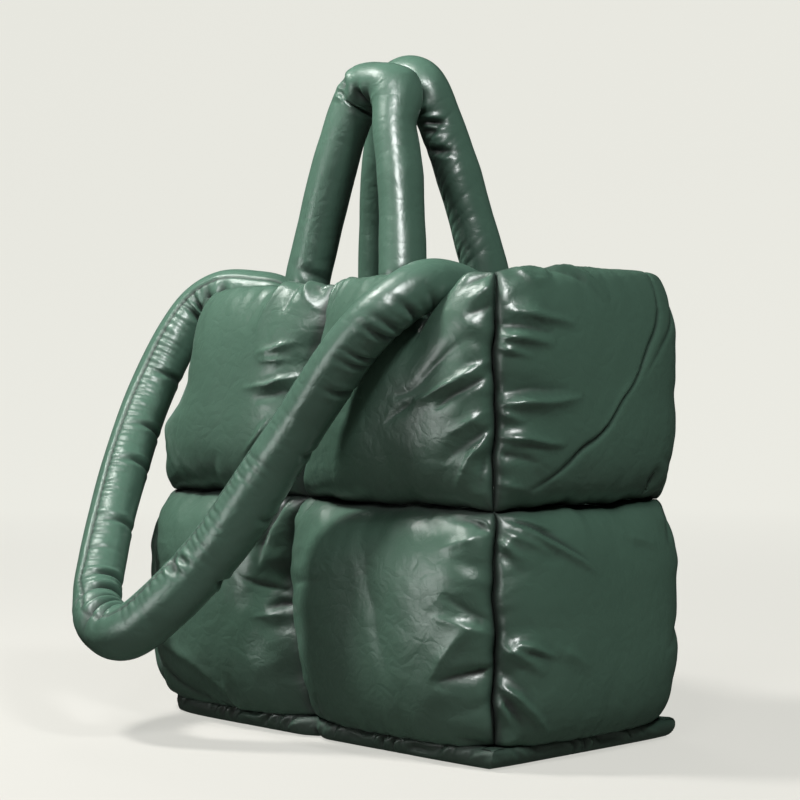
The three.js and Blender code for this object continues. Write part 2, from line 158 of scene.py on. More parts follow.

# Listed folds of each cut: the points it runs through, as shares of half a tile, then its
# height and its widths on the left and on the right of its way, in millimetres. Valleys are
# below zero. A fold is highest near its start and thins out to a point.
FOLDS = {
    "front_left_upper": [
        ([(0.7, 1.05), (0.74, 0.9), (0.82, 0.8), (0.97, 0.72)], 5, 4, 3),
        ([(0.86, 1.05), (0.84, 0.92), (0.95, 0.84)], -5, 3, 4),
        ([(0.6, 1.05), (0.62, 0.7)], -4, 5, 6), ([(0.45, 1.02), (0.32, 0.55)], 4, 9, 6),
        ([(0.3, 1.0), (0.15, 0.6)], -2, 10, 8), ([(0.8, 0.46), (0.35, 0.38)], 3.5, 6, 3),
        ([(0.8, 0.3), (0.42, 0.33)], 2.5, 4, 4), ([(0.9, 0.14), (0.25, 0.06)], 4, 6, 2.5),
        ([(0.85, 0.0), (0.4, -0.05)], -2.5, 5, 6), ([(0.65, -0.25), (0.35, -0.6)], 2.5, 7, 4),
        ([(0.55, -0.5), (0.3, -0.75)], -1.5, 5, 5), ([(-0.6, 1.0), (-0.5, 0.5)], -2, 14, 8),
        ([(-0.2, -1.0), (0.0, -0.55)], -2, 10, 6),
    ],
    "front_right_upper": [
        ([(-0.88, 1.05), (-0.94, 0.6)], 5, 4, 3), ([(-0.78, 1.05), (-0.84, 0.62)], 4, 3, 3),
        ([(-0.83, 1.05), (-0.9, 0.66)], -5, 3, 3), ([(-0.68, 1.05), (-0.75, 0.7)], 4, 4, 3),
        ([(0.9, 1.05), (0.62, 0.92), (0.35, 0.7)], 5, 9, 4), ([(0.97, 0.98), (0.72, 0.82)], -6, 4, 6),
        ([(0.99, 0.86), (0.8, 0.72)], 4, 5, 3), ([(1.0, 0.72), (0.8, 0.62)], -5, 4, 5),
        ([(0.96, 0.27), (0.75, 0.12), (0.42, 0.02)], 5, 9, 3), ([(0.98, 0.18), (0.62, -0.12)], -5, 3, 6),
        ([(0.42, 0.03), (0.16, -0.27)], -2, 5, 4), ([(0.85, 0.48), (0.22, 0.05)], -2.5, 12, 8),
        ([(0.92, -0.16), (0.72, -0.36)], 3.5, 5, 3), ([(0.99, -0.24), (0.68, -0.62)], -4, 5, 7),
        ([(0.94, -0.35), (0.72, -0.88)], 5, 6, 2.5), ([(0.98, -0.42), (0.88, -0.85)], -5, 4, 4),
        ([(0.9, -1.0), (0.7, -0.86)], 3, 4, 3), ([(-0.5, 0.1), (-0.2, -0.4)], -1.5, 12, 10),
    ],
    "front_left_lower": [
        ([(0.84, 1.05), (0.78, 0.7), (0.74, 0.35)], -8, 4, 5),
        ([(0.98, 0.12), (0.7, 0.2), (0.45, 0.3)], -3, 4, 3),
        ([(0.98, 0.02), (0.78, -0.04)], -7, 4, 4), ([(0.97, -0.1), (0.6, -0.1)], 2.5, 4, 3),
        ([(-0.85, -0.7), (-0.3, -0.88), (0.3, -1.0)], -4, 6, 5),
        ([(-0.8, -0.4), (-0.2, -0.62), (0.2, -0.85)], 3, 9, 5),
        ([(-0.9, 0.2), (-0.5, 0.35)], -2, 10, 8), ([(0.2, -1.0), (0.1, -0.7)], 3, 6, 4),
    ],
    "front_right_lower": [
        ([(-1.0, 1.0), (-0.85, 0.72)], 4, 6, 4), ([(-0.86, 1.02), (-0.8, 0.84)], -5, 4, 4),
        ([(0.96, 0.84), (0.84, 0.9), (0.66, 0.92)], -8, 4, 4), ([(0.88, 0.8), (0.66, 0.66)], 3, 5, 4),
        ([(0.6, 1.0), (0.5, 0.88)], 3, 5, 5), ([(0.99, 0.05), (0.68, 0.28)], -4, 7, 6),
        ([(0.97, -0.02), (0.6, 0.1)], 3, 7, 4), ([(0.99, -0.3), (0.64, -0.47)], -9, 15, 4),
        ([(0.66, -0.4), (0.78, -0.1), (0.9, 0.12)], 3, 6, 3), ([(0.96, -0.62), (0.7, -0.72)], -3, 8, 6),
        ([(0.97, -0.97), (0.66, -0.84)], -5, 6, 6), ([(-0.95, 0.1), (-0.9, -0.3), (-0.86, -0.8)], 4, 7, 4),
        ([(-0.8, -0.98), (-0.7, -0.7)], -3, 6, 6), ([(-0.88, 0.2), (-0.4, 0.35)], -1.5, 5, 4),
        ([(0.0, 0.4), (0.25, -0.5)], -1.5, 14, 10),
    ],
    "right_end_upper": [
        ([(0.72, 1.0), (0.62, 0.65), (0.3, 0.18), (-0.06, -0.28), (-0.78, -0.86)], -3, 2.4, 1.8),
        ([(-0.72, -0.82), (-0.06, -0.3), (0.26, 0.12)], -2, 2.2, 2), ([(0.3, 0.18), (-0.3, -0.5)], 1.4, 3, 5),
        ([(0.9, 0.72), (0.66, 0.45), (0.34, 0.1)], -2, 2.4, 2),
        ([(-0.86, 1.0), (-0.72, 0.82), (-0.58, 0.84)], 3, 3, 2),
        ([(-0.84, 1.03), (-0.6, 0.96), (-0.56, 0.86)], 3, 2, 3),
        ([(-0.6, 1.05), (-0.3, 0.95), (0.02, 0.7)], 4, 7, 2.5), ([(-0.3, 1.02), (0.12, 0.94)], 3, 5, 2),
        ([(-0.6, 0.98), (-0.2, 0.82)], -3, 4, 5), ([(-0.86, 0.63), (-0.4, 0.53)], 4, 6, 2.5),
        ([(-0.97, 0.48), (-0.6, 0.39)], 4.5, 7, 3), ([(-0.95, 0.38), (-0.75, 0.28)], 3, 4, 2),
        ([(-0.96, 0.56), (-0.6, 0.48)], -3, 4, 4), ([(-0.94, -0.08), (-0.38, -0.06)], 5, 4, 8),
        ([(-0.98, -0.14), (-0.82, -0.26)], 3.5, 4, 3), ([(-0.97, 0.02), (-0.5, 0.03)], -2.5, 6, 5),
        ([(-0.96, -0.36), (-0.5, -0.47)], 5, 7, 3), ([(-0.97, -0.48), (-0.7, -0.6)], -3, 4, 5),
        ([(-0.95, -0.75), (-0.75, -0.85)], 2.5, 4, 4), ([(0.95, -0.7), (0.6, -0.6)], -2, 10, 8),
    ],
    "right_end_lower": [
        ([(-0.98, 1.0), (-0.75, 0.9), (-0.5, 0.8)], 4, 4, 2.5),
        ([(-0.97, 0.96), (-0.6, 0.7), (-0.25, 0.42)], 5, 5, 2.5),
        ([(-0.98, 0.98), (-0.65, 0.8), (-0.3, 0.52)], -4, 3, 3), ([(-0.97, 0.86), (-0.6, 0.62)], 4, 8, 4),
        ([(-0.99, 0.8), (-0.82, 0.58)], 4.5, 5, 3), ([(-0.98, 0.7), (-0.8, 0.45)], -2.5, 5, 5),
        ([(0.2, 0.78), (0.55, 0.6)], 2, 5, 4), ([(0.98, 0.95), (0.7, 0.6)], -4, 6, 6),
        ([(-0.97, -0.1), (-0.7, -0.4)], 5, 8, 3), ([(-0.86, -0.12), (-0.6, -0.26)], 4, 5, 2.5),
        ([(-0.6, -0.18), (-0.3, -0.4)], 1.5, 6, 5), ([(-0.98, -0.3), (-0.75, -0.62)], -2.5, 5, 6),
        ([(-0.96, -0.46), (-0.86, -0.55), (-0.62, -0.86)], 5.5, 4, 2),
        ([(-0.98, -0.58), (-0.88, -0.8)], 3.5, 3, 3),
        ([(-0.93, -0.55), (-0.8, -0.78)], -3, 3, 3), ([(-0.97, -0.95), (-0.8, -0.86)], 3, 5, 4),
        ([(0.97, -0.1), (0.6, -0.35)], -1.5, 8, 6),
    ],
}

# Round a tube, angles are in degrees from the side that faces the photographer; +90 is the outer
# side of the strap's loop and the inner side of a handle's arch.
# Where the long seam of a tube runs: share of its length, angle
STRAP_TWIST = [(0, 40), (0.43, 38), (0.47, 0), (0.52, -62), (0.6, -80), (1, -95)]
HANDLE_TWIST = [(0, 92), (1, 92)]

# How full a tube is stuffed along its length
STRAP_FULLNESS = [(0, 1), (0.44, 1), (0.5, 1.1), (0.62, 1.12), (0.74, 1.02), (1, 1)]
HANDLE_FULLNESS = [(0, 1), (1, 1)]

# Gathers beside the long seam: from and to as shares of the length, which side of the seam,
# depth, how far they reach round the tube, how far apart they are, and their slant
STRAP_GATHERS = [
    (0.1, 0.455, -1, 0.0017, 50, 0.0068, 0.001), (0.53, 0.7, 1, 0.0017, 46, 0.0068, 0.001),
    (0.7, 0.8, 1, 0.0006, 36, 0.007, 0),
]
FRONT_GATHERS = [(0.1, 0.4, -1, 0.0005, 60, 0.009, -0.004)]
BACK_GATHERS = [(0.66, 0.93, -1, 0.0026, 70, 0.008, -0.009), (0.1, 0.4, -1, 0.001, 50, 0.008, 0)]

# Folds across a tube: share of its length, angle, depth, width along, reach round, slant
STRAP_KINKS = [
    (0.09, -25, 0.005, 0.004, 42, 0.002), (0.106, -30, 0.006, 0.0035, 46, 0.001),
    (0.122, -30, 0.005, 0.004, 44, 0), (0.138, -35, 0.005, 0.0035, 40, -0.001),
    (0.2, -45, 0.0035, 0.0028, 48, 0.003), (0.262, -50, 0.0035, 0.0028, 50, 0.003),
    (0.302, -45, 0.0035, 0.0028, 46, 0.003), (0.365, -50, 0.0032, 0.0028, 48, 0.003),
    (0.425, -40, 0.004, 0.003, 50, 0.004), (0.445, -50, 0.006, 0.0035, 50, 0.003),
    (0.466, -75, 0.008, 0.004, 55, 0.001), (0.484, -90, 0.013, 0.006, 80, 0),
    (0.502, -80, 0.007, 0.004, 50, -0.002), (0.455, 30, 0.003, 0.0025, 40, 0.006),
    (0.587, -58, 0.006, 0.0035, 24, -0.003), (0.596, -48, 0.004, 0.0025, 22, 0.004),
    (0.6, 84, 0.005, 0.003, 22, 0), (0.778, 52, 0.003, 0.0028, 34, 0.003),
    (0.803, 42, 0.0024, 0.0024, 38, 0.004), (0.811, 45, 0.003, 0.0022, 36, 0.004),
    (0.834, 42, 0.0034, 0.0024, 40, 0.004), (0.843, 40, 0.0022, 0.002, 42, 0.004),
    (0.857, 42, 0.003, 0.0024, 40, 0.004), (0.875, 45, 0.0014, 0.003, 40, 0.004),
    (0.72, 80, 0.002, 0.003, 30, 0.002), (0.66, 75, 0.002, 0.003, 30, 0.002),
]
FRONT_KINKS = [
    (0.456, -62, 0.007, 0.0024, 26, 0.003), (0.444, -48, 0.004, 0.0028, 24, 0.003),
    (0.43, 20, 0.0035, 0.0028, 40, -0.003), (0.418, 45, 0.003, 0.003, 40, 0),
    (0.487, 28, 0.0045, 0.004, 24, 0.004), (0.47, 90, 0.004, 0.006, 60, 0), (0.5, 90, 0.005, 0.006, 60, 0),
    (0.53, 90, 0.004, 0.006, 55, 0), (0.44, 90, 0.003, 0.006, 55, 0),
    (0.553, -82, -0.0078, 0.015, 44, 0), (0.476, -80, -0.003, 0.01, 46, 0), (0.515, -90, 0.003, 0.014, 60, 0),
    (0.955, 30, 0.002, 0.004, 50, 0.004), (0.07, 20, 0.002, 0.004, 50, -0.004),
]
BACK_KINKS = [
    (0.63, 22, 0.006, 0.003, 26, -0.008), (0.643, 40, 0.004, 0.003, 26, -0.006),
    (0.575, 50, 0.004, 0.004, 34, 0), (0.6, 62, 0.003, 0.003, 34, -0.004), (0.47, 90, 0.004, 0.006, 60, 0),
    (0.5, 90, 0.005, 0.006, 60, 0), (0.53, 90, 0.004, 0.006, 55, 0), (0.685, 40, 0.004, 0.003, 40, -0.008),
]


def smooth(share):
    return share * share * (3 - 2 * share)


def unit(vectors):
    return vectors / np.linalg.norm(vectors, axis=-1, keepdims=True)


# Seam cage of the bag

def corner(index, row):
    scale = np.array([WIDTH / 2, DEPTH / 2, 1])
    places = [np.array(corners[index % 4]) * scale * (1, 1, height) for height, corners in SEAM_ROWS]
    return np.stack([np.interp(row, [0, 1, 2], [p[axis] for p in places]) for axis in range(3)], -1)


def wall_direction(wall, row):
    along = corner(wall + 1, row) - corner(wall, row)
    along[..., 2] = 0
    return unit(along)


def wall_normal(wall, row):
    return np.cross(wall_direction(wall, row), (0, 0, 1))


def rim_dip(wall, share):
    length = np.linalg.norm(corner(wall + 1, 2) - corner(wall, 2))
    dip = 0 * share
    for crossed, at in CROSSINGS:
        if crossed == wall:
            dip = dip + STRAP_DIP * np.exp(-((share - at) * length / STRAP_DIP_WIDTH) ** 2)
    return dip


def wall_point(wall, share, row):
    share = np.asarray(share, float)
    row = np.asarray(row, float)
    start, end = corner(wall, row), corner(wall + 1, row)
    point = start + (end - start) * share[..., None]
    rise = smooth(np.maximum(row - 1, 0))
    bow = WALLS[wall]["bow"] * (4 * share * (1 - share)) ** 2 * rise
    point = point - wall_normal(wall, row) * bow[..., None]
    point[..., 2] -= rim_dip(wall, share) * rise * rise
    return point


def slack(point, wall, share, row):
    """Seams wander a few millimetres, and the lower front seam is pushed to the left."""
    x, y, z = (point[..., axis] for axis in range(3))
    along = np.sin(71 * z + 23 * (x - y)) + 0.6 * np.sin(163 * z - 61 * x + 1.3)
    along = along + 0.2 * np.sin(290 * z + 2)
    upwards = np.sin(47 * x + 58 * y + 0.7) + 0.6 * np.sin(127 * x - 151 * y + 2.1)
    upwards = upwards + 0.2 * np.sin(270 * (x + y))
    moved = point + wall_direction(wall, row) * (SEAM_WANDER * along)[..., None]
    inside_rim = np.clip((2 - row) * 2, 0, 1) * np.clip(row * 3, 0, 1)
    moved[..., 2] += SEAM_WANDER * upwards * inside_rim
    if wall == 0:
        push = FRONT_SEAM_PUSH * np.exp(-((share - 0.5) / 0.16) ** 2 - ((row - 0.8) / 0.4) ** 2)
        moved -= wall_direction(wall, row) * push[..., None]
    return moved


def tile_place(name):
    for wall, entry in enumerate(WALLS):
        for column, column_name in enumerate(entry["columns"]):
            for row, row_name in enumerate(["lower", "upper"]):
                if name == f"{column_name}_{row_name}":
                    return wall, column, row
    raise ValueError(name)


def tile_size(name):
    wall, column, row = tile_place(name)
    length = np.linalg.norm(corner(wall + 1, row) - corner(wall, row)) / len(WALLS[wall]["columns"])
    return float(length), SEAM_ROWS[row + 1][0] - SEAM_ROWS[row][0]


def swelling_direction(wall, column, row, u, v, seam_row):
    columns = len(WALLS[wall]["columns"])
    square = wall_normal(wall, seam_row)
    pushed = unit(square - SEAM_PUSH * wall_direction(wall, seam_row))
    before = unit(square + wall_normal((wall + 3) % 4, seam_row)) if column == 0 else pushed
    after = unit(square + wall_normal((wall + 1) % 4, seam_row)) if column == columns - 1 else pushed
    mitre = np.where((u < 0)[..., None], before, after)
    normal = square + (mitre - square) * (np.abs(u) ** 3)[..., None]
    up = np.array([0, 0, 1.0])
    if row == 0:
        normal = normal - up * (UNDER_LEAN * np.maximum(-v, 0) ** 4)[..., None]
    if row == 1:
        normal = normal + up * (RIM_LEAN * np.maximum(v, 0) ** 4)[..., None]
    return unit(normal)


def crown(share):
    return np.maximum(1 - np.abs(share) ** 3.1, 0) ** 0.44


# Cloth

def flat_grid(name, rows, columns):
    """A flat cut of cloth two metres square, with this many vertices each way."""
    bpy.ops.object.select_all(action="DESELECT")
    bpy.ops.mesh.primitive_grid_add(x_subdivisions=columns - 1, y_subdivisions=rows - 1, size=2,
                                    calc_uvs=False, location=(0, 0, 0))
    piece = bpy.context.object
    piece.name = piece.data.name = name
    return piece


def vertex_places(piece):
    places = np.empty(len(piece.data.vertices) * 3)
    piece.data.vertices.foreach_get("co", places)
    return places.reshape(-1, 3)


def move_vertices(piece, places, hollow_and_painted_shade):
    """Puts each vertex in its place and stores the painted shade that darkens it."""
    piece.data.vertices.foreach_set("co", np.asarray(places, np.float32).ravel())
    painted_shade_values = piece.data.attributes.new("hollow_and_painted_shade", "FLOAT", "POINT")
    painted_shade_values.data.foreach_set("value", np.asarray(hollow_and_painted_shade, np.float32).ravel())
    piece.data.update()


def close_up(piece, outwards=True):
    """Merges the edges that lie on each other and turns the faces outwards."""
    only(piece)
    bpy.ops.object.mode_set(mode="EDIT")
    bpy.ops.mesh.select_all(action="SELECT")
    bpy.ops.mesh.remove_doubles(threshold=1e-6)
    if outwards:
        bpy.ops.mesh.normals_make_consistent(inside=False)
    bpy.ops.object.mode_set(mode="OBJECT")


def only(piece):
    bpy.ops.object.select_all(action="DESELECT")
    piece.select_set(True)
    bpy.context.view_layer.objects.active = piece


def waves(u, v, seed):
    shift = 7.3 * seed
    broad = noise.noise(Vector((2.3 * u + shift, 2.3 * v - shift, 1.7 * seed)))
    fine = noise.noise(Vector((5.1 * u + shift, 5.1 * v, 2.1 * seed)))
    return broad + 0.5 * fine


def loose_sheets():
    """One flat sheet for each cut, side by side, a little domed, as one object."""
    sheets = []
    for number, name in enumerate(CUTS):
        sheet = flat_grid(name + "_sheet", SHEET_CELLS + 1, SHEET_CELLS + 1)
        length, height = tile_size(name)
        for vertex in sheet.data.vertices:
            u, v = vertex.co.x, vertex.co.y
            dome = 0.014 * (1 - u ** 4) * (1 - v ** 4) * (1 + 0.3 * waves(u, v, number + 1))
            vertex.co = (number + u * length / 2, v * height / 2, dome)
        sheets.append(sheet)
    for sheet in sheets:
        sheet.select_set(True)
    bpy.context.view_layer.objects.active = sheets[0]
    bpy.ops.object.join()
    return sheets[0]


def border_vertices(mesh):
    uses = {}
    for polygon in mesh.polygons:
        for key in polygon.edge_keys:
            uses[key] = uses.get(key, 0) + 1
    return sorted({index for key, count in uses.items() if count == 1 for index in key})


def inflate(sheet):
    """Sews the sheet's border down and blows its cloth, cut too large, up from below."""
    seam = sheet.vertex_groups.new(name="seam")
    seam.add(border_vertices(sheet.data), 1.0, "REPLACE")
    cloth = sheet.modifiers.new("puff", "CLOTH")
    settings = cloth.settings
    settings.quality = 6
    settings.mass = 0.15
    settings.air_damping = 2
    settings.tension_stiffness = settings.compression_stiffness = 40
    settings.shear_stiffness = 16
    settings.bending_stiffness = 1
    settings.vertex_group_mass = "seam"
    settings.use_pressure = True
    settings.uniform_pressure_force = 20
    settings.shrink_min = -0.04
    settings.effector_weights.gravity = 0
    cloth.collision_settings.use_collision = False
    frames = 25
    cloth.point_cache.frame_end = frames
    for number in range(1, frames + 1):
        bpy.context.scene.frame_set(number)
    only(sheet)
    bpy.ops.object.modifier_apply(modifier=cloth.name)
    bpy.context.scene.frame_set(1)


def blurred(field, rounds):
    field = field.copy()
    for _ in range(rounds):
        inner = field[:-2, 1:-1] + field[2:, 1:-1] + field[1:-1, :-2] + field[1:-1, 2:]
        field[1:-1, 1:-1] = 0.5 * field[1:-1, 1:-1] + 0.125 * inner
    return field


def finer(field):
    """The same field on the tile's own, finer grid."""
    coarse = np.linspace(0, 1, field.shape[0])
    fine = np.linspace(0, 1, TILE_CELLS + 1)
    low = np.clip(np.searchsorted(coarse, fine, "right") - 1, 0, len(coarse) - 2)
    part = (fine - coarse[low]) / (coarse[1] - coarse[0])
    tall = field[low] + (field[low + 1] - field[low]) * part[:, None, None]
    both = tall[:, low] + (tall[:, low + 1] - tall[:, low]) * part[None, :, None]
    return blurred(both, 9)


def simulated_wrinkles():
    """For each cut, how the simulated cloth departs from its own smooth form, on a fine grid."""
    sheet = loose_sheets()
    flat = np.array([vertex.co for vertex in sheet.data.vertices])
    inflate(sheet)
    puffed = np.array([vertex.co for vertex in sheet.data.vertices])
    cells = SHEET_CELLS + 1
    wrinkles = {}
    for number, name in enumerate(CUTS):
        own = np.where(np.abs(flat[:, 0] - number) < 0.5)[0]
        order = own[np.lexsort((flat[own, 0].round(5), flat[own, 1].round(5)))]
        field = puffed[order].reshape(cells, cells, 3)
        wrinkles[name] = finer(field - blurred(field, 60))
    bpy.data.objects.remove(sheet, do_unlink=True)
    return wrinkles


def sunken(height, full):
    """How far each place lies below its neighbourhood, one for the full depth or more. It sets the painted
    shade in creases.
    """
    return np.clip((blurred(height, 12) - height) / full, 0, 1)


def fold_heights(name, u, v):
    """How high the cut's folds stand at each place. They are worked out in millimetres."""
    half = np.array(tile_size(name)) * 500
    place = np.stack([u, v], -1) * half
    lift = np.zeros_like(u)
    for points, rise, left, right in FOLDS[name]:
        knots = np.array(points) * half
        reached = np.concatenate([[0], np.cumsum(np.linalg.norm(np.diff(knots, axis=0), axis=1))])
        steps = np.linspace(0, reached[-1], max(6, int(reached[-1] / 2)))
        way = np.stack([np.interp(steps, reached, knots[:, axis]) for axis in range(2)], -1)
        along = unit(np.gradient(way, axis=0))
        near = np.full(u.shape, 1e9)
        share = np.zeros_like(u)
        aside = np.zeros_like(u)
        for step, (spot, ahead) in enumerate(zip(way, along)):
            offset = place - spot
            away = np.hypot(offset[..., 0], offset[..., 1])
            closer = away < near
            near = np.where(closer, away, near)
            share = np.where(closer, step / (len(way) - 1), share)
            aside = np.where(closer, offset[..., 1] * ahead[0] - offset[..., 0] * ahead[1], aside)
        taper = (1 - share) ** 0.8 * (0.35 + 0.65 * smooth(np.minimum(share * 3.2, 1)))
        width = np.where(aside > 0, left, right) * (0.4 + 0.6 * np.sqrt(np.maximum(taper, 0)))
        lift += FOLD_RISE[name[:5]] * rise * taper * np.exp(-(near / width) ** 1.3)
    return blurred(lift, 1) / 1000


# Tiles

def pressed_in(points, outwards, swell, tubes):
    """How far each point has to go back for the tubes that lie against the cloth."""
    back = np.zeros(swell.shape)
    for line, along, radius in tubes:
        low, high = line.min(0) - radius - 0.04, line.max(0) + radius + 0.04
        near = np.all((points > low) & (points < high), axis=-1)
        if not near.any():
            continue
        spots, ways = points[near], outwards[near]
        closest = np.concatenate([
            np.argmin(((part[:, None] - line[None]) ** 2).sum(-1), axis=1)
            for part in np.array_split(spots, max(1, len(spots) // 2000))])
        axis = along[closest]
        offset = spots - line[closest]
        offset = offset - axis * (offset * axis).sum(-1, keepdims=True)
        ways = ways - axis * (ways * axis).sum(-1, keepdims=True)
        size = (ways ** 2).sum(-1)
        half = (offset * ways).sum(-1)
        inside = half ** 2 - size * ((offset ** 2).sum(-1) - (radius + PRESS_GAP) ** 2)
        leave = (half + np.sqrt(np.maximum(inside, 0))) / np.maximum(size, 0.05)
        held = np.sqrt((offset ** 2).sum(-1)) < radius + PRESS_GAP
        back[near] = np.maximum(back[near], np.where(held & (inside > 0), leave, 0))
    back = np.minimum(back, swell + PRESS_DEEPEST)
    return np.maximum(back, blurred(back, 40))


def plump(name, u, v):
    """How far the filling alone pushes the cloth out."""
    wall, _, row = tile_place(name)
    bulge = WALLS[wall]["bulge"]
    if row == 0:
        bulge += LOWER_SAG
    if name == "left_end_lower":
        bulge += LEFT_FULL
    swell = bulge * crown(u) * crown(v)
    if name in ("front_left_upper", "left_end_upper"):
        from_corner = u + 1 if name == "front_left_upper" else 1 - u
        held = smooth(np.clip((v - DENT_FROM) / DENT_RISE, 0, 1))
        swell = swell * (1 - CORNER_DENT * held * np.exp(-(from_corner / DENT_REACH) ** 2))
    return swell


def calmed(ripple, wall, u, from_seam):
    """The simulated wrinkles, fainter away from the seams."""
    beside_seam = np.exp(-(from_seam / CALM_REACH) ** 2)
    ripple = ripple * (CALM_MIDDLE + (CALM_SEAMS - CALM_MIDDLE) * beside_seam)[..., None]
    if wall in (1, 3):
        ripple = ripple * (1 - END_CALM * smooth(np.clip((u + 0.2) / 0.8, 0, 1)))[..., None]
    return ripple


def sewn_tile(name, wrinkles, tubes):
    wall, column, row = tile_place(name)
    cut = SAME_CUT.get(name, name)
    columns = len(WALLS[wall]["columns"])
    length, height = tile_size(name)
    places = np.linspace(-1, 1, TILE_CELLS + 1)
    u, v = np.meshgrid(places, places)
    edge = crown(u) * crown(v)
    from_seam = np.minimum((1 - np.abs(u)) * length, (1 - np.abs(v)) * height) / 2
    ripple = calmed(wrinkles[cut], wall, u, from_seam)
    swell = np.maximum(plump(name, u, v) + ripple[..., 2] + fold_heights(cut, u, v) * edge ** 0.3, 0)
    swell[0, :] = swell[-1, :] = swell[:, 0] = swell[:, -1] = 0
    across = np.clip(u + ripple[..., 0] * 2 / length, -1, 1) * (1 - GAP / length)
    upwards = np.clip(v + ripple[..., 1] * 2 / height, -1, 1) * (1 - GAP / height)
    seam_row = row + (upwards + 1) / 2
    share = (column + (across + 1) / 2) / columns
    middle = slack(wall_point(wall, share, seam_row), wall, share, seam_row)
    outwards = swelling_direction(wall, column, row, across, upwards, seam_row)
    pressed = pressed_in(middle + outwards * swell[..., None], outwards, swell, tubes)
    outer = middle + outwards * (SEAM_THICKNESS / 2 + swell - pressed)[..., None]
    hollow_and_painted_shade = INNER_BULGE * (1 - u ** 2) * (1 - v ** 2) * (1 - v * row)
    hollow_and_painted_shade = np.maximum(hollow_and_painted_shade, pressed - swell + hollow_and_painted_shade / 2)
    inner = middle - outwards * (SEAM_THICKNESS / 2 + hollow_and_painted_shade)[..., None]
    # Painted shade: darkest along the tile's seams and in the creases of its cloth
    painted_shade = np.exp(-(from_seam / SEAM_SHADE) ** 2) + sunken(swell, CREASE_SHADE)
    return closed_pillow(name + "_pad", outer, inner, np.clip(painted_shade, 0, 1))


def closed_pillow(name, outer, inner, hollow_and_painted_shade):
    """A grid extruded into a slab, whose two sides are then moved into place, the inner one in full painted
    shade.
    """
    rows, columns = outer.shape[:2]
    piece = flat_grid(name, rows, columns)
    bpy.ops.object.mode_set(mode="EDIT")
    bpy.ops.mesh.select_all(action="SELECT")
    bpy.ops.mesh.extrude_region_move(TRANSFORM_OT_translate={"value": (0, 0, 1)})
    bpy.ops.object.mode_set(mode="OBJECT")
    slab = vertex_places(piece)
    column = np.rint((slab[:, 0] + 1) / 2 * (columns - 1)).astype(int)
    row = np.rint((slab[:, 1] + 1) / 2 * (rows - 1)).astype(int)
    upper = slab[:, 2] > 0.5
    places = np.where(upper[:, None], outer[row, column], inner[row, column])
    move_vertices(piece, places, np.where(upper, hollow_and_painted_shade[row, column], 1))
    close_up(piece)
    return piece


# Tubes

def smooth_line(points, step):
    """Centripetal curve through the points, walked in even steps."""
    points = np.array(points, float)
    ends = [2 * points[0] - points[1], 2 * points[-1] - points[-2]]
    held = np.vstack([ends[0], points, ends[1]])
    knots = np.concatenate([[0], np.cumsum(np.linalg.norm(np.diff(held, axis=0), axis=1) ** 0.5)])
    line = []
    for i in range(1, len(held) - 2):
        t0, t1, t2, t3 = knots[i - 1:i + 3]
        p0, p1, p2, p3 = held[i - 1:i + 3]
        t = np.linspace(t1, t2, 40, endpoint=False)[:, None]
        a1 = (t1 - t) / (t1 - t0) * p0 + (t - t0) / (t1 - t0) * p1
        a2 = (t2 - t) / (t2 - t1) * p1 + (t - t1) / (t2 - t1) * p2
        a3 = (t3 - t) / (t3 - t2) * p2 + (t - t2) / (t3 - t2) * p3
        b1 = (t2 - t) / (t2 - t0) * a1 + (t - t0) / (t2 - t0) * a2
        b2 = (t3 - t) / (t3 - t1) * a2 + (t - t1) / (t3 - t1) * a3
        line.append((t2 - t) / (t2 - t1) * b1 + (t - t1) / (t2 - t1) * b2)
    line = np.vstack([*line, held[-2][None]])
    walked = np.concatenate([[0], np.cumsum(np.linalg.norm(np.diff(line, axis=0), axis=1))])
    count = int(round(walked[-1] / step))
    even = np.linspace(0, walked[-1], count + 1)
    return np.stack([np.interp(even, walked, line[:, axis]) for axis in range(3)], -1), even


def foot_point(wall, side):
    start, end = corner(wall, 2.0), corner(wall + 1, 2.0)
    share = (start[0] - side * HANDLE_SPREAD / 2) / (start[0] - end[0])
    beside = 0.02
    along = wall_point(wall, share + beside, 2.0) - wall_point(wall, share - beside, 2.0)
    along[2] = 0
    inwards = unit(np.cross((0, 0, 1), along))
    reach = SEAM_THICKNESS / 2 + HANDLE_DIAMETER / 2 - FOOT_PRESS
    return wall_point(wall, share, 2.0) + inwards * reach


def handle_points(wall, top):
    feet = [foot_point(wall, -1), foot_point(wall, 1)]
    other = foot_point((wall + 2) % 4, 1)
    meeting = (feet[1][1] + other[1]) / 2
    top_y = meeting + math.copysign(HANDLE_DIAMETER / 2 + GAP, feet[1][1] - other[1])
    top_z = top - HANDLE_DIAMETER / 2
    spring_z = top_z - HANDLE_ARCH

    def leg(foot):
        side = math.copysign(1, foot[0])
        points = [(foot[0], foot[1], RIM - FOOT_DEPTH)]
        for spread, rise in HANDLE_LEG:
            x = side * (HANDLE_ARCH + (abs(foot[0]) - HANDLE_ARCH) * spread)
            share = rise * (spring_z - RIM) / (top_z - RIM)
            points.append((x, foot[1] + (top_y - foot[1]) * share, RIM + rise * (spring_z - RIM)))
        return points

    turns = [math.radians(degrees) for degrees in (150, 120, 90, 60, 30)]
    arch = [(HANDLE_ARCH * math.cos(turn), top_y, spring_z + HANDLE_ARCH * math.sin(turn)) for turn in turns]
    return leg(feet[0]) + arch + leg(feet[1])[::-1]


def front_handle_points():
    return handle_points(0, FRONT_HANDLE_TOP)


def back_handle_points():
    return handle_points(2, BACK_HANDLE_TOP)


def strap_points():
    """The strap hangs a little nearer to the front corner than its solid does."""
    points = []
    for x, y, z in STRAP_ROUTE:
        beyond = smooth(min(max((-x - 0.8) / 0.4, 0), 1))
        spot = Vector((x * WIDTH / 2, y * DEPTH / 2, z * RIM)) + TOWARDS * (STRAP_FORWARD * beyond)
        points.append(tuple(spot))
    return points


def turned_by(angle, degrees):
    """Angles measured from another direction, between half a turn back and half a turn on."""
    return (angle - np.radians(degrees) + math.pi) % (2 * math.pi) - math.pi


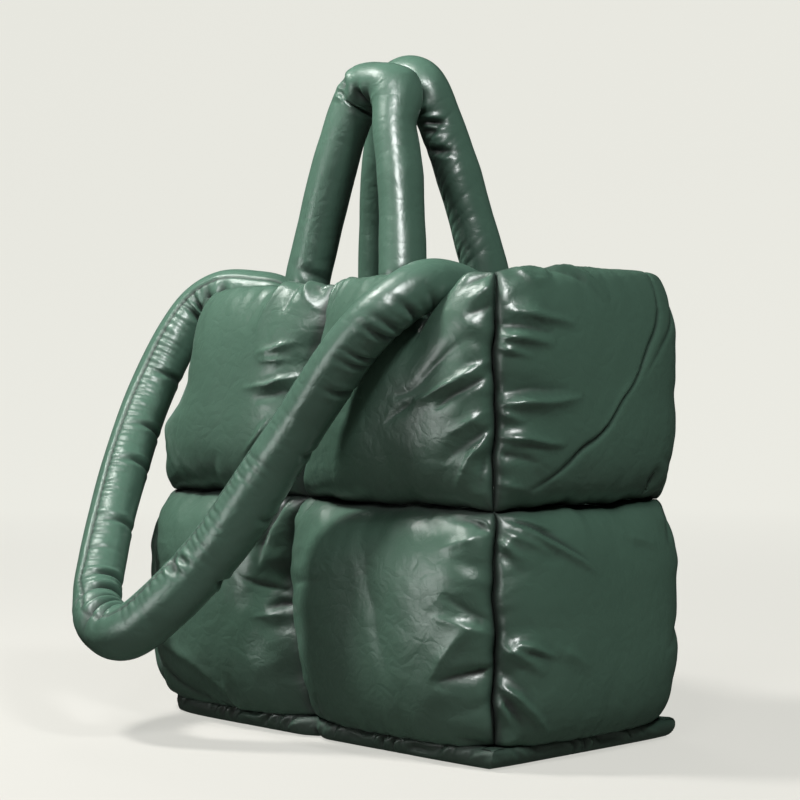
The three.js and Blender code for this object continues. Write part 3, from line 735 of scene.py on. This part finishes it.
def gather_depth(walked, angle, twist, gathers, seed):
    rng = np.random.default_rng(seed)
    relief = np.zeros((len(walked), len(angle)))
    total = walked[-1]
    for start, end, side, depth, reach, spacing, lean in gathers:
        at = start * total
        while at < end * total:
            seam = np.interp(at / total, [t[0] for t in twist], [t[1] for t in twist])
            aside = side * turned_by(angle, seam)
            far = np.radians(reach) * rng.uniform(0.6, 1.35)
            slant = lean + rng.uniform(-0.002, 0.002)
            width = spacing * rng.uniform(0.3, 0.42)
            near = (walked > at - 0.035) & (walked < at + 0.035)
            across = (walked[near, None] - at - slant * aside[None]) / width
            begins = np.where(aside > -0.06, 1, 0) * np.exp(-(np.maximum(aside, 0) / far) ** 2)
            relief[near] += depth * rng.uniform(0.5, 1.15) * np.exp(-np.abs(across) ** 1.6) * begins[None]
            at += spacing * rng.uniform(0.8, 1.25)
    return relief


def kink_depth(walked, angle, kinks):
    relief = np.zeros((len(walked), len(angle)))
    for along, turn, depth, width, reach, slant in kinks:
        off = turned_by(angle, turn)
        centre = along * walked[-1] + slant * off
        across = np.abs(walked[:, None] - centre[None]) / width
        reached = np.exp(-(off / math.radians(reach)) ** 2)[None]
        relief += depth * np.exp(-across ** 1.4) * reached
        relief -= 0.25 * depth * np.exp(-(across - 2.2) ** 2) * reached
    return relief


def stuffed_tube(name, points, diameter, twist, fullness, gathers, kinks, seed):
    line, walked = smooth_line(points, TUBE_STEP)
    along = unit(np.gradient(line, axis=0))
    towards = np.array(TOWARDS)
    side = unit(towards - along * np.sum(towards * along, -1, keepdims=True))
    other = np.cross(along, side)
    angle = np.linspace(-math.pi, math.pi, TUBE_SEGMENTS, endpoint=False)
    radius = diameter / 2
    rng = np.random.default_rng(seed + 50)
    sway = np.interp(walked, np.linspace(0, walked[-1], 24), rng.uniform(-0.025, 0.015, 24))
    sway = sway[:, None] + 0.012 * np.sin(3 * angle[None] + 40 * walked[:, None])
    from_end = np.minimum(walked, walked[-1] - walked)
    end_round = np.sqrt(np.clip(1 - (1 - np.minimum(from_end / (0.6 * radius), 1)) ** 2, 0.09, 1))
    full = np.interp(walked / walked[-1], [f[0] for f in fullness], [f[1] for f in fullness])
    rings = radius * (1 + sway) * (full * end_round)[:, None]
    folds = gather_depth(walked, angle, twist, gathers, seed) + kink_depth(walked, angle, kinks)
    rings = rings - folds
    seam = np.interp(walked / walked[-1], [t[0] for t in twist], [t[1] for t in twist])
    from_seam = turned_by(angle[None], seam[:, None])
    groove = np.exp(-(from_seam / math.radians(SEAM_TURN)) ** 2)
    rings = rings - SEAM_PULL * groove
    spokes = side[:, None] * np.cos(angle)[None, :, None] + other[:, None] * np.sin(angle)[None, :, None]
    surface = line[:, None] + spokes * rings[..., None]
    # Painted shade in the tube's folds and gathers, and a dark line along its long seam
    return closed_tube(name, surface, line, np.clip(groove + folds / TUBE_SHADE, 0, 1))


def rolled_up(name, surface, hollow_and_painted_shade):
    """A grid rolled up until its first and last columns meet, here to be merged."""
    around = np.concatenate([surface, surface[:, :1]], axis=1)
    painted_shade_values = np.concatenate([hollow_and_painted_shade, hollow_and_painted_shade[:, :1]], axis=1)
    piece = flat_grid(name, *around.shape[:2])
    move_vertices(piece, around, painted_shade_values)
    return piece


def closed_tube(name, surface, line, hollow_and_painted_shade):
    """The tube's two ends are drawn together to a point, where the painted shade is full."""
    first, last = (np.broadcast_to(line[at], (1, surface.shape[1], 3)) for at in (0, -1))
    shut = np.ones((1, surface.shape[1]))
    tube = rolled_up(name, np.concatenate([first, surface, last]), np.concatenate([shut, hollow_and_painted_shade, shut]))
    close_up(tube)
    return tube


# Base

# Side of the base from its seam to its flat underside: share in, share out, share down
BASE_SIDE = [(0, 0, 0), (0.004, 0.5, -0.03), (0.008, 0.83, 0.02), (0.013, 1.0, 0.16), (0.019, 1.06, 0.38),
             (0.026, 1.05, 0.6), (0.034, 0.98, 0.8), (0.046, 0.86, 0.94), (0.075, 0.66, 1), (0.4, 0, 1)]
BASE_SWELL = 0.019

# Depth of the furrow under the base along its cross seam
BASE_FURROW = 0.0035

# How much of the swelling is lost at the right corners, and how far the gathers vary it on the
# ends and on the long sides
CORNER_LOSS = 0.8
END_GATHERS = 0.12
LONG_GATHERS = 0.16


def base_panel():
    inset = np.array([0, 0.002, 0.004, 0.006, 0.008, 0.01, 0.012, 0.014, 0.016, 0.018, 0.021, 0.024, 0.028,
                      0.032, 0.037, 0.043, 0.05, 0.06, 0.075])
    places = np.concatenate([inset - 1, np.linspace(-0.91, 0.91, 180), 1 - inset[::-1]])
    u, v = np.meshgrid(places, places)
    from_side = [entry[0] for entry in BASE_SIDE]

    def side(share, which):
        return np.interp(1 - np.abs(share), from_side, [entry[which] for entry in BASE_SIDE])

    def gathers(across, down, start):
        """Slanting folds that run down from the seam and thin out before the floor."""
        bent = across + 0.012 * np.sin(90 * across + start) - 0.02 * down
        finer_bend = 2.1 * start + 1.4 * np.sin(60 * across)
        ridges = np.sin(250 * bent + start) + 0.7 * np.sin(430 * bent + finer_bend)
        patchy = 0.6 + 0.4 * np.sin(37 * across + 2 * start)
        return ridges * patchy * np.exp(-((down - 0.3) / 0.4) ** 2)

    notch = 1 - np.exp(-(u / 0.05) ** 2)
    down_x, down_y = side(u, 2), side(v, 2)
    pulled = 1 - CORNER_LOSS * smooth(np.clip(0.5 - u, 0, 1))
    folds_x = gathers(v * DEPTH / 2, down_x, 1)
    folds_y = gathers(u * WIDTH / 2, down_y, 2.6)
    swell_x = BASE_SWELL * side(u, 1) * (1 - pulled * v ** 8) * (1 + END_GATHERS * folds_x)
    swell_y = BASE_SWELL * side(v, 1) * (1 - pulled * u ** 10) * (0.6 + 0.4 * notch)
    swell_y = swell_y * (1 + LONG_GATHERS * folds_y)
    drop = np.minimum(down_x, down_y)
    rounded = np.maximum(np.hypot(swell_x, swell_y) / (1.25 * BASE_SWELL), 1)
    swell_x, swell_y = swell_x / rounded, swell_y / rounded
    furrow = np.exp(-(u / 0.012) ** 2)
    x = u * (WIDTH / 2 - GAP) + np.sign(u) * swell_x
    y = v * (DEPTH / 2 - GAP) + np.sign(v) * swell_y
    z = (BOTTOM_SEAM - SEAM_THICKNESS) * (1 - drop) + BASE_FURROW * furrow * drop
    under = np.stack([-x, y, z], -1)
    crown_height = (BASE_THICKNESS - BOTTOM_SEAM) * (1 - u ** 4) * (1 - v ** 4)
    inside = np.stack([-u * (WIDTH / 2 - GAP), v * (DEPTH / 2 - GAP), BOTTOM_SEAM - GAP + crown_height], -1)
    # Painted shade on the base: darkened all over, most just under its seam, where the tiles overhang it, and
    # along its middle seam, less on the ridges of its gathers
    painted_shade = furrow + 0.45 + 0.4 * np.exp(-(drop / 0.25) ** 2) - 0.2 * (folds_x + folds_y)
    return closed_pillow("base_pad", under, inside, np.clip(painted_shade, 0, 1))


# Materials

FLOOR_GLOW = (0.55, 0.55, 0.512, 1)
WALL_GLOW = (0.745, 0.745, 0.69, 1)
STAGE_DIM = (0.05, 0.044, 0.038, 1)


class Wire:
    """A socket of a shader, which Python's signs join through Math nodes."""

    def __init__(self, shader, socket):
        self.shader = shader
        self.socket = socket

    def _maths(self, operation, first, second):
        return self.shader.node("ShaderNodeMath", {"operation": operation}, {0: first, 1: second})

    def __add__(self, other):
        return self._maths("ADD", self, other)

    def __mul__(self, other):
        return self._maths("MULTIPLY", self, other)

    __radd__ = __add__
    __rmul__ = __mul__


class Shader:
    """A material and the one way that its nodes are added."""

    def __init__(self, name):
        self.material = bpy.data.materials.new(name)
        self.material.use_nodes = True
        self.tree = self.material.node_tree
        self.surface = self.tree.nodes["Principled BSDF"]

    def plug(self, socket, value):
        if isinstance(value, Wire):
            self.tree.links.new(value.socket, socket)
        else:
            socket.default_value = value

    def node(self, kind, settings, inputs, output=0):
        node = self.tree.nodes.new(kind)
        for setting, value in settings.items():
            setattr(node, setting, value)
        for key, value in inputs.items():
            self.plug(node.inputs[key], value)
        return Wire(self, node.outputs[output])

    def set(self, **values):
        for key, value in values.items():
            self.plug(self.surface.inputs[key.replace("_", " ")], value)


def coated_nylon(name, colour, roughness):
    """Thin glossy coated cloth: fine crumpled creases, a faint grain, slightly uneven gloss, and painted
    shade where the mesh marks it.
    """
    shader = Shader(name)
    place = shader.node("ShaderNodeTexCoord", {}, {}, "Object")

    def noise_at(scale, detail):
        return shader.node("ShaderNodeTexNoise", {}, {"Vector": place, "Scale": scale, "Detail": detail})

    def creases(scale, stretch):
        bent = shader.node("ShaderNodeTexNoise", {}, {"Vector": place, "Scale": scale * 0.6}, "Color")
        moved = shader.node("ShaderNodeVectorMath", {"operation": "MULTIPLY_ADD"},
                            {0: bent, 1: (0.03, 0.03, 0.03), 2: place})
        mapped = shader.node("ShaderNodeMapping", {}, {"Vector": moved, "Scale": stretch})
        cells = shader.node("ShaderNodeTexVoronoi", {"feature": "DISTANCE_TO_EDGE"},
                            {"Vector": mapped, "Scale": scale})
        return shader.node("ShaderNodeMapRange", {}, {"Value": cells, "From Max": 0.35})

    patches = noise_at(9, 3)
    relief = 0.7 * creases(22, (1, 1, 0.6)) + 0.4 * creases(55, (1, 1, 1.3)) + 0.3 * noise_at(40, 4)
    relief = relief + 0.12 * creases(110, (1.2, 1, 0.8))
    grain = noise_at(1400, 2)
    folds = shader.node("ShaderNodeBump", {}, {"Strength": 0.3, "Distance": 0.0015, "Height": relief})
    bump = shader.node("ShaderNodeBump", {},
                       {"Strength": 0.12, "Distance": 0.0002, "Height": grain, "Normal": folds})
    light = tuple(min(1, 1.12 * c) for c in colour)
    dark = tuple(0.88 * c for c in colour)
    tint = shader.node("ShaderNodeMix", {"data_type": "RGBA"},
                       {"Factor": patches, "A": (*dark, 1), "B": (*light, 1)}, "Result")
    # Painted shade: the colour is mixed towards near black as far as the mesh marks it
    hollow_and_painted_shade = shader.node("ShaderNodeAttribute", {"attribute_name": "hollow_and_painted_shade"}, {}, "Fac")
    shaded = shader.node("ShaderNodeMix", {"data_type": "RGBA"},
                         {"Factor": 0.75 * hollow_and_painted_shade, "A": tint, "B": (0.004, 0.008, 0.006, 1)}, "Result")
    shader.set(Base_Color=shaded, Normal=bump,
               Roughness=roughness - 0.04 + 0.08 * noise_at(30, 3) + 0.35 * hollow_and_painted_shade,
               Coat_Weight=0.05, Coat_Roughness=0.24, Specular_IOR_Level=0.5)
    return shader.material


def stage_material():
    """Pale paper that glows behind the bag, where the camera looks, and is dim elsewhere."""
    shader = Shader("pale_paper")
    place = shader.node("ShaderNodeTexCoord", {}, {}, "Object")

    def measured(direction):
        return shader.node("ShaderNodeVectorMath", {"operation": "DOT_PRODUCT"},
                           {0: place, 1: tuple(direction)}, "Value")

    def fade(value, low, high):
        return shader.node("ShaderNodeMapRange", {"interpolation_type": "SMOOTHSTEP"},
                           {"Value": value, "From Min": low, "From Max": high, "To Min": 1.0, "To Max": 0.0})

    forwards = measured(TOWARDS)
    sideways = measured(RIGHT)
    aside = shader.node("ShaderNodeMath", {"operation": "ABSOLUTE"}, {0: sideways})
    seen = fade(forwards, 0.45, 1.1) * fade(aside + 0.24 * forwards, 0.75, 1.5)
    distance = shader.node("ShaderNodeVectorMath", {"operation": "LENGTH"}, {0: place}, "Value")
    ground = shader.node("ShaderNodeMapRange", {},
                         {"Value": distance, "From Min": 0.4, "From Max": 2.7, "To Min": 1.0, "To Max": 0.0})
    bright = shader.node("ShaderNodeMix", {"data_type": "RGBA"},
                         {"Factor": ground, "A": WALL_GLOW, "B": FLOOR_GLOW}, "Result")
    glow = shader.node("ShaderNodeMix", {"data_type": "RGBA"},
                       {"Factor": seen, "A": STAGE_DIM, "B": bright}, "Result")
    shader.set(Base_Color=(0.085, 0.083, 0.078, 1), Roughness=1.0, Specular_IOR_Level=0.0,
               Emission_Color=glow, Emission_Strength=1.0)
    return shader.material


def dress(piece, node, material):
    for polygon in piece.data.polygons:
        polygon.use_smooth = True
    piece.data.materials.append(material)
    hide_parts(node)
    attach(piece, "root")


# Stage, lights and camera

STAGE_FLOOR = 2.6
STAGE_BEND = 1.2
STAGE_TOP = 4.5


def make_stage():
    """A round floor that curves up into a wall all round."""
    profile = [(0.0, 0.0), (STAGE_FLOOR - 0.1, 0.0), (STAGE_FLOOR, 0.0)]
    for bent in np.linspace(0.1, math.pi / 2, 14):
        profile.append((STAGE_FLOOR + STAGE_BEND * math.sin(bent), STAGE_BEND - STAGE_BEND * math.cos(bent)))
    profile.append((STAGE_FLOOR + STAGE_BEND, STAGE_TOP))
    turn = np.linspace(0, -2 * math.pi, 96, endpoint=False)
    rings = np.array([[(r * math.cos(t), r * math.sin(t), z) for t in turn] for r, z in profile])
    stage = rolled_up("stage_floor", rings, np.zeros(rings.shape[:2]))
    close_up(stage, outwards=False)
    for polygon in stage.data.polygons:
        polygon.use_smooth = True
    stage.data.materials.append(stage_material())
    stage.visible_glossy = False


# Round soft lights: degrees left of the camera and above the floor, distance and width in
# metres, watts, and whether it lights the cloth or only shows in its gloss
LIGHTS = [
    ("key", 84, 54, 1.6, 0.26, 82, (1, 0.985, 0.96), "cloth"),
    ("front", 14, 40, 3.0, 0.5, 32, (1, 1, 1), "cloth"),
    ("right", -34, 50, 3.0, 0.5, 100, (1, 1, 1), "cloth"),
    ("back", 172, 42, 3.0, 0.8, 30, (1, 1, 1), "cloth"),
    ("key_gloss", 84, 54, 1.6, 0.45, 30, (1, 0.985, 0.96), "gloss"),
    ("front_gloss", 12, 39, 3.0, 0.85, 105, (1, 1, 1), "gloss"),
    ("side_gloss", 62, 2, 3.0, 1.2, 26, (1, 1, 1), "gloss"),
]


def add_light(name, left, up, distance, size, energy, colour, on):
    aim = Vector((0, 0, 0.25))
    turn, rise = math.radians(left), math.radians(up)
    level = TOWARDS * math.cos(turn) - RIGHT * math.sin(turn)
    place = aim + (level * math.cos(rise) + Vector((0, 0, math.sin(rise)))) * distance
    data = bpy.data.lights.new(name, "AREA")
    data.shape = "DISK"
    data.size = size
    data.energy = energy
    data.color = colour
    light = bpy.data.objects.new(name, data)
    light.location = place
    light.rotation_euler = (aim - place).to_track_quat("-Z", "Y").to_euler()
    light.visible_camera = False
    light.visible_diffuse = on == "cloth"
    light.visible_glossy = on == "gloss"
    bpy.context.collection.objects.link(light)


def make_lights():
    for entry in LIGHTS:
        add_light(*entry)
    world = bpy.data.worlds.new("studio")
    world.use_nodes = True
    background = world.node_tree.nodes["Background"]
    background.inputs["Color"].default_value = (0.9, 0.9, 0.87, 1)
    background.inputs["Strength"].default_value = 0.02
    bpy.context.scene.world = world


# The photo's camera: its distance, how far left of the bag's middle and how high it stands, in
# metres, how many degrees it looks down, and its lens in millimetres
CAMERA_DISTANCE = 1.96
CAMERA_LEFT = 0.0056
CAMERA_HEIGHT = 0.33
CAMERA_DOWN = 1.288
CAMERA_LENS = 100.1


def make_camera():
    data = bpy.data.cameras.new("photo_view")
    data.sensor_width = 36
    data.lens = CAMERA_LENS
    camera = bpy.data.objects.new("photo_view", data)
    camera.location = TOWARDS * CAMERA_DISTANCE - RIGHT * CAMERA_LEFT + Vector((0, 0, CAMERA_HEIGHT))
    camera.rotation_euler = (math.radians(90 - CAMERA_DOWN), 0, CAMERA_TURN)
    bpy.context.collection.objects.link(camera)
    bpy.context.scene.camera = camera


def pressing_tubes():
    """The middle line, its direction and the radius of each tube that may press on a tile."""
    tubes = []
    for points, diameter in (
        (front_handle_points(), HANDLE_DIAMETER),
        (back_handle_points(), HANDLE_DIAMETER),
        (strap_points(), STRAP_DIAMETER),
    ):
        line, _ = smooth_line(points, 0.003)
        tubes.append((line, unit(np.gradient(line, axis=0)), diameter / 2))
    return tubes


def make_bag():
    shell = coated_nylon("tile_nylon", (0.031, 0.061, 0.044), 0.33)
    tube = coated_nylon("tube_nylon", (0.034, 0.067, 0.049), 0.33)
    wrinkles = simulated_wrinkles()
    tubes = pressing_tubes()
    for name in [*CUTS, *SAME_CUT]:
        dress(sewn_tile(name, wrinkles, tubes), name, shell)
    dress(base_panel(), "base_panel", shell)
    for name, points, gathers, kinks in (
        ("front_handle", front_handle_points(), FRONT_GATHERS, FRONT_KINKS),
        ("back_handle", back_handle_points(), BACK_GATHERS, BACK_KINKS),
    ):
        handle = stuffed_tube(name + "_tube", points, HANDLE_DIAMETER, HANDLE_TWIST, HANDLE_FULLNESS,
                              gathers, kinks, 11)
        dress(handle, name, tube)
    strap = stuffed_tube("shoulder_strap_tube", strap_points(), STRAP_DIAMETER, STRAP_TWIST, STRAP_FULLNESS,
                         STRAP_GATHERS, STRAP_KINKS, 5)
    dress(strap, "shoulder_strap", tube)


make_camera()
make_lights()
make_stage()
make_bag()
bpy.context.scene.view_settings.view_transform = "Standard"
